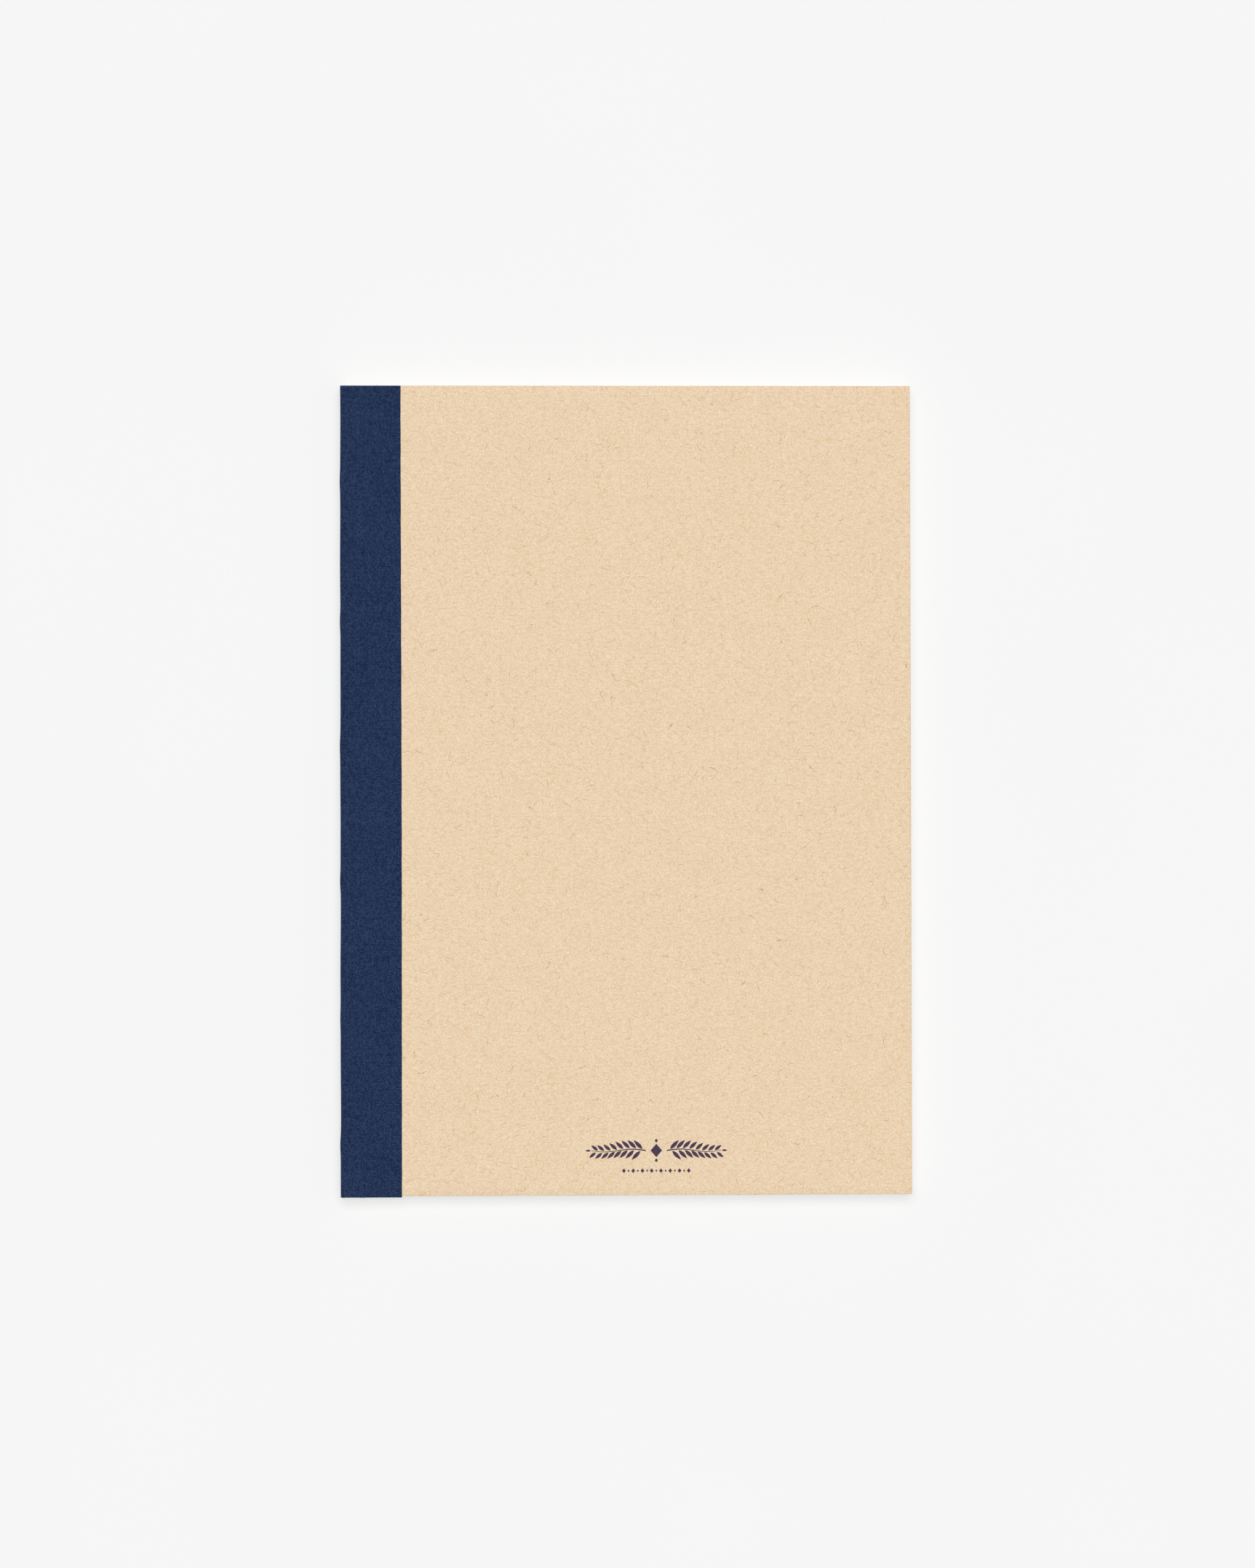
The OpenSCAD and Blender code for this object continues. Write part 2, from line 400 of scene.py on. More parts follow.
def cloth_material(name):
    m = Mat(name)
    uv = m.uv_mm()
    wob = m.vop("SUBTRACT", m.noise(uv, 0.35, 2.0)[1], (0.5, 0.5, 0.5))
    p = m.vop("ADD", uv, m.vscale(wob, 0.10))
    x, y, _ = m.xyz(p)
    PX, PY = 0.288, 0.345
    sx, sy = m.math("DIVIDE", x, PX), m.math("DIVIDE", y, PY)
    ix, iy = m.math("FLOOR", sx), m.math("FLOOR", sy)
    fx, fy = m.sub(m.math("FRACT", sx), 0.5), m.sub(m.math("FRACT", sy), 0.5)
    parity = m.math("PINGPONG", m.add(ix, iy), 1.0)
    # random thickness of every warp and weft thread, changing slowly along it
    tw = m.noise(m.vec(m.mul(ix, 3.7), m.mul(y, 0.16)), 1.0, 1.0)[0]
    tf = m.noise(m.vec(m.mul(x, 0.13), m.mul(iy, 5.3)), 1.0, 1.0)[0]
    ww, wf = m.linear(tw, 0.3, 0.7, 0.42, 0.54), m.linear(tf, 0.3, 0.7, 0.38, 0.56)
    across_w = m.math("SQRT", m.math("MAXIMUM", m.sub(1.0, m.math("POWER", m.math("DIVIDE", m.absv(fx), ww), 2.0)), 0.0))
    across_f = m.math("SQRT", m.math("MAXIMUM", m.sub(1.0, m.math("POWER", m.math("DIVIDE", m.absv(fy), wf), 2.0)), 0.0))
    dome_w = m.math("COSINE", m.mul(fy, math.pi * 0.9))
    dome_f = m.math("COSINE", m.mul(fx, math.pi * 0.9))
    hw_top, hf_top = m.mul(across_w, m.add(0.35, m.mul(dome_w, 0.65))), m.mul(across_f, m.add(0.35, m.mul(dome_f, 0.65)))
    hw_low, hf_low = m.mul(across_w, 0.28), m.mul(across_f, 0.28)
    up_w, up_f = m.math("MAXIMUM", hw_top, hf_low), m.math("MAXIMUM", hf_top, hw_low)
    h = m.add(m.mul(parity, up_f), m.mul(m.sub(1.0, parity), up_w))
    # plies along each thread
    ply = m.noise(m.vec(m.mul(x, 7.0), m.mul(y, 7.0)), 1.0, 2.0, 0.6)[0]
    cloud = m.noise(uv, 0.08, 2.0)[0]
    slub = m.smooth(m.noise(m.vec(m.mul(x, 0.10), m.mul(y, 2.2)), 1.0, 1.0)[0], 0.56, 0.75)
    slub2 = m.smooth(m.noise(m.vec(m.mul(x, 2.4), m.mul(y, 0.08)), 1.0, 1.0)[0], 0.58, 0.76)
    # colour follows the weave's height: painted shade in the gaps between threads and painted highlight on the thread
    # tops, with a further painted highlight on the tops of the weft
    col = m.mix(m.smooth(h, 0.15, 0.95), (0.0008, 0.0052, 0.0280), (0.0182, 0.0380, 0.0995))
    col = m.mix(m.mul(parity, m.smooth(h, 0.55, 1.0, 0.0, 0.45)), col, (0.028, 0.052, 0.120))
    col = m.mix(m.smooth(ply, 0.35, 0.7, 0.0, 0.3), col, (0.036, 0.063, 0.142))
    col = m.mix(m.mul(slub, 0.42), col, (0.0120, 0.0230, 0.0680))
    col = m.mix(m.mul(slub2, 0.30), col, (0.032, 0.055, 0.124))
    col = m.mix(m.smooth(cloud, 0.3, 0.7, 0.0, 0.14), col, (0.027, 0.048, 0.110))
    # every crossing catches the light a little differently
    each = m.white(m.vec(ix, iy, 0.0), "2D")
    pair = m.white(m.vec(m.math("FLOOR", m.mul(sx, 0.5)), m.math("FLOOR", m.mul(sy, 0.5)), 3.0), "3D")
    col = m.mix(m.smooth(each, 0.45, 1.0, 0.0, 0.50), col, (0.0400, 0.0660, 0.1440))
    col = m.mix(m.smooth(each, 0.42, 0.0, 0.0, 0.44), col, (0.0012, 0.0060, 0.0280))
    col = m.mix(m.smooth(pair, 0.35, 0.0, 0.0, 0.12), col, (0.0010, 0.0060, 0.0270))
    height = m.add(h, m.add(m.mul(ply, 0.25), m.mul(slub, 0.3)))
    nrm = m.bump(height, 0.00006, 0.55)
    return m.finish(col, m.linear(h, 0.0, 1.0, 0.92, 0.78), nrm, Specular_IOR_Level=0.07,
                    Sheen_Weight=0.03, Sheen_Roughness=0.5, Sheen_Tint=(0.55, 0.65, 0.9, 1.0))


def paper_material(name, base, ruled=False):
    m = Mat(name)
    uv = m.uv_mm()
    at = m.n("ShaderNodeAttribute", attribute_name="tone", attribute_type="GEOMETRY").outputs["Fac"]
    cloud = m.noise(uv, 0.25, 3.0, 0.6)[0]
    grain = m.noise(uv, 4.0, 2.0, 0.6)[0]
    hair = m.fibres(uv, 1.6, 1.6, 0.07, 0.5, 3)
    dark = tuple(c * 0.975 for c in base)
    lite = tuple(min(1.0, c * 1.01) for c in base)
    col = m.mix(m.smooth(cloud, 0.3, 0.7), dark, lite)
    col = m.mix(m.smooth(grain, 0.4, 0.7, 0.0, 0.35), col, tuple(c * 0.97 for c in base))
    col = m.mix(m.mul(hair, 0.12), col, tuple(c * 0.80 for c in base))
    col = m.mix(m.smooth(at, 0.0, 1.0, 0.0, 0.30), col, tuple(c * k for c, k in zip(base, (0.84, 0.80, 0.72))))
    if ruled:
        x, y, _ = m.xyz(uv)
        row = m.absv(m.sub(m.math("FRACT", m.math("DIVIDE", m.add(y, 96.5), 7.0)), 0.5))
        rows = m.smooth(row, 0.0075, 0.015, 1.0, 0.0)
        inside = m.mul(m.math("GREATER_THAN", 92.3, m.absv(y)), m.mul(m.math("GREATER_THAN", x, 14.0), m.math("LESS_THAN", x, 138.0)))
        total = m.mul(rows, inside)
        for k, px in enumerate((14.0, 33.0, 52.0, 71.0, 84.0, 97.0, 110.0, 123.0, 138.0)):
            v = m.smooth(m.absv(m.sub(x, px)), 0.06, 0.12, 1.0, 0.0)
            total = m.math("MAXIMUM", total, m.mul(v, m.math("GREATER_THAN", 92.3, m.absv(y))))
        for hy, w in ((92.1, 0.2), (78.6, 0.13), (-92.1, 0.2), (-78.6, 0.13)):
            v = m.smooth(m.absv(m.sub(y, hy)), w * 0.7, w * 1.1, 1.0, 0.0)
            total = m.math("MAXIMUM", total, m.mul(v, m.mul(m.math("GREATER_THAN", x, 14.0), m.math("LESS_THAN", x, 138.0))))
        broken = m.smooth(grain, 0.35, 0.6, 0.62, 0.85)
        col = m.mix(m.mul(total, broken), col, (0.255, 0.335, 0.42))
    # cut edges: darker, partly dust and partly painted shade of the gaps between leaves, a little different on every
    # leaf and along it
    if ruled:
        ex, ey, _ = m.xyz(uv)
        cut = m.math("MAXIMUM", m.smooth(m.absv(ey), YH - 0.14, YH - 0.08), m.smooth(ex, X1 - X0 - 0.28, X1 - X0 - 0.16))
        along = m.noise(m.vec(m.mul(m.add(ex, ey), 0.11), m.mul(at, 40.0)), 1.0, 3.0, 0.6)[0]
        dust_and_gap_shade = m.math("ADD", m.smooth(at, 0.15, 0.95, 0.05, 0.70), m.smooth(along, 0.35, 0.65, -0.10, 0.22), clamp=True)
        col = m.mix(m.mul(cut, dust_and_gap_shade), col, tuple(c * k for c, k in zip(base, (0.66, 0.615, 0.53))))
    nrm = m.bump(m.add(m.mul(grain, 0.6), cloud), 0.00001, 0.4)
    return m.finish(col, 0.88, nrm, Specular_IOR_Level=0.2)


def thread_material(name):
    m = Mat(name)
    p = m.uv_mm()
    x, y, _ = m.xyz(p)
    ply = m.math("SINE", m.mul(m.add(m.mul(y, 2.2), m.mul(x, 0.9)), 6.28))
    fuzz = m.noise(m.vec(m.mul(x, 6.0), m.mul(y, 3.0)), 1.0, 3.0)[0]
    # darker in the grooves between the plies and lighter on their crests: painted shade and painted highlight of the
    # twist
    col = m.mix(m.smooth(ply, -0.9, 0.7), (0.62, 0.57, 0.46), (0.88, 0.85, 0.76))
    col = m.mix(m.smooth(fuzz, 0.35, 0.7, 0.0, 0.35), col, (0.93, 0.91, 0.85))
    return m.finish(col, 0.72, m.bump(m.add(ply, fuzz), 0.00003, 0.5), Specular_IOR_Level=0.3, Sheen_Weight=0.15)


def glue_material(name):
    m = Mat(name)
    p = m.object_mm()
    lump = m.noise(p, 0.6, 3.0, 0.6, "3D")[0]
    fine_n = m.noise(p, 3.0, 2.0, 0.5, "3D")[0]
    col = m.mix(m.smooth(lump, 0.3, 0.7), (0.66, 0.58, 0.40), (0.84, 0.79, 0.62))
    return m.finish(col, m.linear(fine_n, 0.3, 0.7, 0.35, 0.55), m.bump(lump, 0.00005, 0.6), Specular_IOR_Level=0.45)


def gauze_material(name):
    m = Mat(name)
    x, y, _ = m.xyz(m.uv_mm())
    twist = m.math("SINE", m.mul(m.add(x, y), 22.0))
    fuzz = m.noise(m.vec(m.mul(x, 5.0), m.mul(y, 5.0)), 1.0, 3.0)[0]
    # darker in the grooves of the twist and lighter on its crests: painted shade and painted highlight
    col = m.mix(m.smooth(twist, -1.0, 0.8), (0.58, 0.54, 0.45), (0.84, 0.81, 0.72))
    col = m.mix(m.smooth(fuzz, 0.4, 0.7, 0.0, 0.3), col, (0.92, 0.90, 0.84))
    return m.finish(col, 0.9, m.bump(m.add(twist, fuzz), 0.00003, 0.5), Specular_IOR_Level=0.2)


def liner_material(name):
    m = Mat(name)
    uv = m.uv_mm()
    grain = m.noise(uv, 2.0, 3.0, 0.6)[0]
    hair = m.fibres(uv, 1.2, 1.6, 0.09, 0.8, 5)
    col = m.mix(m.smooth(grain, 0.3, 0.7), (0.46, 0.31, 0.18), (0.60, 0.43, 0.27))
    col = m.mix(m.mul(hair, 0.5), col, (0.30, 0.18, 0.09))
    return m.finish(col, 0.9, m.bump(grain, 0.00002, 0.5), Specular_IOR_Level=0.2)


def ink_material(name):
    m = Mat(name)
    uv = m.uv_mm()
    grain = m.noise(uv, 4.5, 3.0, 0.65)[0]
    hair = m.fibres(uv, 1.2, 1.6, 0.08, 0.7, 2)
    col = m.mix(m.smooth(grain, 0.35, 0.75), (0.040, 0.020, 0.052), (0.088, 0.052, 0.098))
    col = m.mix(m.mul(hair, 0.30), col, (0.20, 0.12, 0.13))
    return m.finish(col, m.linear(grain, 0.3, 0.7, 0.6, 0.8), m.bump(grain, 0.00001, 0.4), Specular_IOR_Level=0.25)


M_KRAFT = kraft_material("kraft_card")
M_CLOTH = cloth_material("navy_bookcloth")
M_END = paper_material("endpaper", (0.86, 0.835, 0.765))
M_TEXT = paper_material("ruled_text_paper", (0.875, 0.85, 0.785), ruled=True)
M_THREAD = thread_material("linen_thread")
M_GLUE = glue_material("spine_glue")
M_GAUZE = gauze_material("mull_gauze")
M_LINER = liner_material("liner_paper")
M_INK = ink_material("ink")
for node, mat in (("middle_thread", M_THREAD), ("link_stitches", M_THREAD), ("spine_glue", M_GLUE), ("spine_mull", M_GAUZE), ("spine_liner", M_LINER)):
    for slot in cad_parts[node].material_slots:
        slot.material = mat


def ease(edge=0.12, least=0.45):
    """Thickness near the four edges, so that a cut edge is softened and not knife sharp."""
    def f(S, Y, L):
        a = np.minimum(np.minimum(S, L - S) / edge, 1.0)
        b = np.minimum((YH - np.abs(Y)) / edge, 1.0)
        k = np.clip(np.minimum(a, b), 0, 1)
        return least + (1 - least) * np.sqrt(k * (2 - k))
    return f


YS_CARD = fine(-YH, YH, 2.5)
YS_LEAF = fine(-YH, YH, 10.0, 0.3)
YS_CLOTH = fine(-YH - 0.33, YH, 0.5)

# ------------------------------------------------------------------ the covers
def card_piece(name, node, body, front):
    """Kraft card, thinner where the cloth is pressed into it."""
    xs = fine(X0 + CLOTH_T + 0.02, X1, 2.0)
    step = X0 + TAPE
    xs = np.unique(np.r_[xs, step - 0.12, step - 0.02, step + 0.05])
    top = np.where(xs < step - 0.01, T - CLOTH_T - 0.01, CARD_TOP)
    mid, half = (top + CARD_BOT) / 2, (top - CARD_BOT) / 2
    path = [(x, z) for x, z in zip(xs, mid)]
    P = np.array(path)
    I, J = len(xs), len(YS_CARD)
    e = ease(0.14, 0.5)
    S, Y = np.meshgrid(xs - xs[0], YS_CARD, indexing="ij")
    h = half[:, None] * e(S, Y, xs[-1] - xs[0])
    out = np.stack([np.broadcast_to(P[:, None, 0], (I, J)), Y, P[:, None, 1] + h], -1)
    inn = np.stack([np.broadcast_to(P[:, None, 0], (I, J)), Y, P[:, None, 1] - h], -1)
    v, f, u = ribbon_data(path, 1.0, YS_CARD)
    v = np.concatenate([out.reshape(-1, 3), inn.reshape(-1, 3)])
    u = u + np.array([xs[0], 0.0])
    if not front:
        v = v * [1, 1, -1] + [0, 0, 2 * ZC]
        f = [q[::-1] for q in f]
        u = u * [1, 1] + [260.0, 40.0]
    ob = make_object(name, settle(v), f, u, M_KRAFT)
    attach(ob, body)
    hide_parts(node)
    return ob


card_piece("front_card", "front_cover_card", "front_cover", True)
card_piece("back_card", "back_cover_card", "back_cover", False)

# ------------------------------------------------------------- the spine cloth
CR = 0.34                                           # round of the cloth over the card's edge
SPLIT_F, SPLIT_B = ZC + 1.9, ZC - 1.9               # where the three lengths of the strip meet


def cloth_bulge(v):
    """The folds and the sewing under the cloth push it out by a tenth or two at each hole, and its cut edge wanders."""
    x, y, z = v[:, 0].copy(), v[:, 1], v[:, 2]
    near = 1 - ss(X0 + 0.2, X0 + 4.0, x)
    out = np.zeros(len(v))
    for k, s in enumerate(STATIONS):
        out += (0.15, 0.10, 0.14, 0.11, 0.16, 0.12)[k] * np.exp(-((y - s - (1.2, -0.8, 0.6, 1.4, -1.0, 0.9)[k]) / 2.6) ** 2)
    out += 0.035 * np.sin(y / 9.3 + 1.1) + 0.025 * np.sin(y / 4.1)
    x = x - near * out
    cut = ss(X0 + TAPE - 1.2, X0 + TAPE, x) * (np.abs(z - ZC) > 2.5)
    v = ss(-YH, YH, y)
    x = x + cut * (0.365 + 0.10 * np.sin(math.pi * v) - 0.14 * v + 0.018 * np.sin(y / 2.3) + 0.012 * np.sin(y / 0.83 + 2))
    return np.stack([x, y, z], 1)


zt = T - CLOTH_T / 2
xl = X0 + CLOTH_T / 2
n_sp = int((T - CLOTH_T / 2 - CR - SPLIT_F) / 0.3)
corner = [(xl, SPLIT_F + (zt - CR - SPLIT_F) * i / n_sp) for i in range(n_sp)] + arc(xl + CR, zt - CR, CR, 180, 90, 9)
flange = [(x, zt) for x in fine(xl + CR, X0 + TAPE, 0.5, 0.1)[1:]]
path_front = corner + flange
S_FRONT = 3.0


def cloth_thick(S, Y, L):
    b = np.clip(np.minimum(YH - Y, Y + YH + 0.33) / 0.06, 0, 1)
    a = np.clip((L - S) / 0.06, 0, 1)
    k = np.minimum(a, b)
    return 0.55 + 0.45 * np.sqrt(k * (2 - k))


def cloth_thick_back(S, Y, L):
    return cloth_thick(L - S, Y, L)


cf = ribbon("cloth_front", path_front, CLOTH_T, YS_CLOTH, M_CLOTH, cloth_thick, S_FRONT, cloth_bulge, sharp=50)
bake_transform(cf)
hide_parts("front_cover_cloth")

path_back = mirror_path(path_front)
cb_len = float(np.hypot(*np.diff(np.array(path_back), axis=0).T).sum())
mid_len = SPLIT_F - SPLIT_B
cb = ribbon("cloth_back", path_back, CLOTH_T, YS_CLOTH, M_CLOTH, cloth_thick_back, S_FRONT - mid_len - cb_len, cloth_bulge, sharp=50)
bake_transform(cb)
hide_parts("back_cover_cloth")

zs = np.r_[np.linspace(SPLIT_B, ZC - 0.6, 5), np.linspace(ZC - 0.5, ZC + 0.5, 13), np.linspace(ZC + 0.6, SPLIT_F, 5)]
cm = ribbon("cloth_spine", [(xl, z) for z in zs], CLOTH_T, YS_CLOTH, M_CLOTH,
            lambda S, Y, L: cloth_thick(S * 0, Y, 10.0), S_FRONT - mid_len, cloth_bulge, sharp=50)
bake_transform(cm)
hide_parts("spine_cloth")

# ------------------------------------------------- loose fibres of the cut cloth
def tube_data(points, radius, sides=5, taper=True):
    P = np.asarray(points, float)
    d = np.gradient(P, axis=0)
    d /= np.linalg.norm(d, axis=1)[:, None]
    up = np.array([0.0, 0.0, 1.0]) if abs(d[0][2]) < 0.9 else np.array([1.0, 0.0, 0.0])
    V = []
    n = len(P)
    for i in range(n):
        a = np.cross(d[i], up)
        a /= np.linalg.norm(a)
        b = np.cross(a, d[i])
        r = radius * (0.35 + 0.65 * math.sin(math.pi * (0.12 + 0.76 * i / (n - 1)))) if taper else radius
        for k in range(sides):
            t = 2 * math.pi * k / sides
            V.append(P[i] + r * (math.cos(t) * a + math.sin(t) * b))
    F = []
    for i in range(n - 1):
        for k in range(sides):
            k2 = (k + 1) % sides
            F.append([i * sides + k, i * sides + k2, (i + 1) * sides + k2, (i + 1) * sides + k])
    F.append(list(range(sides))[::-1])
    F.append([(n - 1) * sides + k for k in range(sides)])
    V = np.array(V)
    U = np.stack([V[:, 0], V[:, 1]], 1)
    return V, F, U, 0.5


frays = []
for k in range(34):
    y = rng.uniform(-YH + 1, YH - 1)
    L = rng.uniform(0.10, 0.34)
    ang = rng.uniform(-1.2, 1.2)
    x = X0 + TAPE - 0.05
    z = T - 0.10
    pts = [(x + L * t * math.cos(ang * t), y + L * t * math.sin(ang) + 0.05 * math.sin(5 * t), z - 0.03 * t + 0.03 * math.sin(6 * t)) for t in np.linspace(0, 1, 7)]
    frays.append(tube_data(pts, rng.uniform(0.011, 0.019)))
for x, L, ang in ((X0 + 0.5, 0.9, -1.9), (X0 + 0.75, 0.5, -1.2), (X0 + 5.2, 0.75, -2.2), (X0 + 5.5, 0.9, -1.7), (X0 + 7.9, 0.45, -1.4), (X0 + 12.1, 0.3, -1.7)):
    pts = [(x + L * t * math.cos(ang + 0.9 * t), -YH + 0.08 + L * 0.8 * t * math.sin(ang + 0.5 * t), T - 0.12 - 0.10 * t + 0.04 * math.sin(5 * t)) for t in np.linspace(0, 1, 9)]
    frays.append(tube_data(pts, 0.035))
for x, L, ang in ((X0 + 3.1, 0.35, 1.3), (X0 + 9.7, 0.3, 1.8)):
    pts = [(x + L * t * math.cos(ang), YH - 0.05 + L * 0.7 * t, T - 0.12 - 0.05 * t) for t in np.linspace(0, 1, 6)]
    frays.append(tube_data(pts, 0.03))
V, F, U, A = join_data(frays)
fr = make_object("cloth_frays", settle(V), F, U, M_CLOTH)
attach(fr, "front_cover")

# -------------------------------------------------------------- the endpapers
END_T = PD_TOP - PD_BOT
zp, zf = (PD_TOP + PD_BOT) / 2, (FL_TOP + FL_BOT) / 2
gap_r = (zp - zf) / 2
fold_x = X0 + CLOTH_T + 0.06 + END_T / 2 + gap_r


def end_pair(tag, front):
    """Each endpaper is one folded sheet: a strip on the text block, the fold, and the leaf pasted to the cover.
    It is cut at the middle of its fold into two pieces."""
    e = ease(0.1, 0.6)

    def edge(S, Y, L):
        return 0.6 + 0.4 * np.sqrt(np.clip((YH - np.abs(Y)) / 0.1, 0, 1))

    def side(path):
        return path if front else mirror_path(path)

    zc_ = (zp + zf) / 2
    cover = arc(fold_x, zc_, gap_r, 180, 90, 8)[:-1] + [(x, zp) for x in np.unique(np.r_[np.linspace(fold_x, X0 + 4.4, 22), fine(X0 + 4.4, X1 - 0.03, 5.0)])]
    strip = [(x, zf) for x in np.linspace(X0 + 4.4, fold_x, 26)] + arc(fold_x, zc_, gap_r, 270, 180, 8)[1:]
    ob = ribbon(f"{tag}_pastedown_leaf", side(cover), END_T - 0.01, fine(-YH, YH, 8.0), M_END, edge, tone=0.1 if front else 0.2)
    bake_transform(ob)
    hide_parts(f"{tag}_pastedown")
    st = ribbon(f"{tag}_endpaper_strip", side(strip), END_T - 0.01, fine(-YH, YH, 8.0), M_END, edge, tone=0.1 if front else 0.2)
    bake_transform(st)
    xs = np.unique(np.r_[np.linspace(X0 + 4.42, X0 + 16, 26), fine(X0 + 16, X1 - 0.05, 5.0)])
    fl = ribbon(f"{tag}_flyleaf_leaf", side([(x, zf) for x in xs]), END_T - 0.01, fine(-YH, YH, 8.0), M_END, e, s0=300 if front else 500, tone=0.3)
    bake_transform(fl)
    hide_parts(f"{tag}_flyleaf")


end_pair("front", True)
end_pair("back", False)

# ------------------------------------------------------------- the text block
def r_mid(k):
    return (SHEETS - k) * PITCH_L - PITCH_L / 2


def leaf_tone(k, n):
    return float(np.random.default_rng(1000 + 17 * n + k).uniform(0, 1))


def proud(k, n):
    """Each leaf stands a hair further out or in than its neighbours."""
    g = np.random.default_rng(500 + 29 * n + k)
    return float(g.uniform(-0.05, 0.05))


def ys_for(k, n):
    g = np.random.default_rng(900 + 13 * n + k)
    ys = YS_LEAF.copy()
    a, b = g.uniform(-0.06, 0.09), g.uniform(-0.05, 0.04)
    return ys + np.interp(ys, [-YH, YH], [-a, b])


def sheet_path(k, z, xe, n_long=8):
    r = r_mid(k)
    low = [(x, z - r) for x in fine(XF, xe, 18.0, 0.3)][::-1]
    up = [(x, z + r) for x in fine(XF, xe, 18.0, 0.3)]
    return low[:-1] + arc(XF, z, r, 270, 90, 20) + up[1:]


def unwrap_u(P):
    """Print position across the page: distance from the fold, on both leaves of a sheet."""
    return np.abs(P[:, 0] - X0)


def folded(k, n, z, xe):
    path = sheet_path(k, z, xe)
    # reversed, so that the outside of the fold is on the left of the path
    v, f, u = ribbon_data(path[::-1], LEAF_T - 0.004, ys_for(k, n), lambda S, Y, L: 0.75 + 0.25 * np.clip(np.minimum(S, L - S) / 0.3, 0, 1))
    half = len(u) // 2
    u = np.stack([unwrap_u(np.concatenate([v[:half], v[:half]])), u[:, 1]], 1)
    return v, f, u, np.where(v[:, 2] > z, leaf_tone(k, n), leaf_tone(k, n + 20))


def sections(names, body):
    for n in names:
        z = ZC + (4 - n) * PITCH
        xe = X1 - 0.10
        V, F, U, A = join_data([folded(k, n, z, xe + proud(k, n)) for k in range(SHEETS)])
        ob = make_object(f"section_{n}_sheets", settle(V), F, U, M_TEXT, A)
        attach(ob, body)
        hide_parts(f"section_{n}")


sections((1, 2, 3), "front_block")
sections((5, 6, 7), "rear_block")

# The middle section's four sheets open with the book. Each is cut at its fold into two halves.
GUTTER = X0 + 6.5


def half_sheet(k, upper, replaced):
    r = r_mid(k)
    xe = X1 - 0.10 + proud(k, 8 if upper else 9)
    xs = np.unique(np.r_[np.linspace(XF, GUTTER, 40), fine(GUTTER, xe, 9.0, 0.3)])
    if upper:
        path = arc(XF, ZC, r, 180, 90, 8)[:-1] + [(x, ZC + r) for x in xs]
    else:
        path = [(x, ZC - r) for x in xs][::-1] + arc(XF, ZC, r, 270, 180, 8)[1:]
    v, f, u = ribbon_data(path, LEAF_T - 0.004, ys_for(k, 8))
    u = np.stack([np.abs(v[:, 0] - X0), v[:, 1]], 1)
    ob = make_object(f"middle_sheet_{k + 1}_{'front' if upper else 'rear'}", settle(v), f, u, M_TEXT, np.full(len(v), leaf_tone(k, 8 if upper else 28)))
    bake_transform(ob)
    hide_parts(replaced)


for k in (0, 1):
    half_sheet(k, True, "middle_section_front")
    half_sheet(k, False, "middle_section_rear")
half_sheet(2, True, "middle_leaf_1")
half_sheet(2, False, "middle_leaf_4")
half_sheet(3, True, "middle_leaf_2")
half_sheet(3, False, "middle_leaf_3")

# ----------------------------------------------------------------- the thread
def twisted(y0, y1, x, z, r=0.085, turns_per_mm=0.55, step=0.16):
    n = max(8, int((y1 - y0) / step))
    t = np.linspace(0, 1, n)
    out = []
    for ph in (0.0, math.pi):
        a = 2 * math.pi * turns_per_mm * (y1 - y0) * t + ph
        pts = np.stack([x + 0.5 * r * np.cos(a), y0 + (y1 - y0) * t, z + 0.5 * r * np.sin(a)], 1)
        out.append(tube_data(pts, r * 0.62, 6, taper=False))
    return out


parts = []
for i in range(0, 6, 2):
    parts += twisted(STATIONS[i] + 0.45, STATIONS[i + 1] - 0.45, X0 + 1.21, ZC)
    for y in (STATIONS[i], STATIONS[i + 1]):
        s = 0.45 if y == STATIONS[i] else -0.45
        pts = [(X0 + 1.21 - 0.20 * t * t, y + s * (1 - t), ZC) for t in np.linspace(0, 1, 6)]
        parts.append(tube_data(pts, 0.085, 6, taper=False))
V, F, U, A = join_data(parts)
th = make_object("fold_thread", settle(V), F, U, M_THREAD)
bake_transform(th)
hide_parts("middle_thread")

# ------------------------------------------------- linings along the spine
ZB = np.unique(np.r_[np.linspace(BZ0, ZC - 0.5, 9), np.linspace(ZC - 0.45, ZC + 0.45, 15), np.linspace(ZC + 0.5, BZ1, 9)])


def bent(ob, node):
    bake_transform(ob)
    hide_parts(node)


a0 = X0 + CLOTH_T
YS_LINE = fine(-YH + 0.05, YH - 0.05, 3.0)
bent(ribbon("spine_liner_paper", [(a0 + 0.04, z) for z in ZB], 0.07, YS_LINE, M_LINER), "spine_liner")

gz = []
for y in np.arange(-YH + 1.0, YH - 0.5, 1.3):
    d = ribbon_data([(a0 + 0.115, z) for z in ZB], 0.05, [y - 0.12, y, y + 0.12])
    gz.append((*d, 0.5))
for z in np.arange(BZ0 + 0.4, BZ1, 0.8):
    d = ribbon_data([(a0 + 0.165, z - 0.1), (a0 + 0.165, z), (a0 + 0.165, z + 0.1)], 0.04, YS_LINE)
    gz.append((*d, 0.5))
V, F, U, A = join_data(gz)
bent(make_object("mull_threads", settle(V), F, U, M_GAUZE), "spine_mull")


def glue_wave(v):
    x, y, z = v.T
    inner = x > a0 + 0.25
    x = x + np.where(inner, 0.012 * np.sin(y / 1.7 + z * 2.1) + 0.01 * np.sin(y / 0.9 - z * 5), 0)
    return np.stack([x, y, z], 1)


bent(ribbon("glue_layer", [(a0 + 0.25, z) for z in ZB], 0.08, fine(-YH + 0.05, YH - 0.05, 1.0), M_GLUE, extra=glue_wave), "spine_glue")

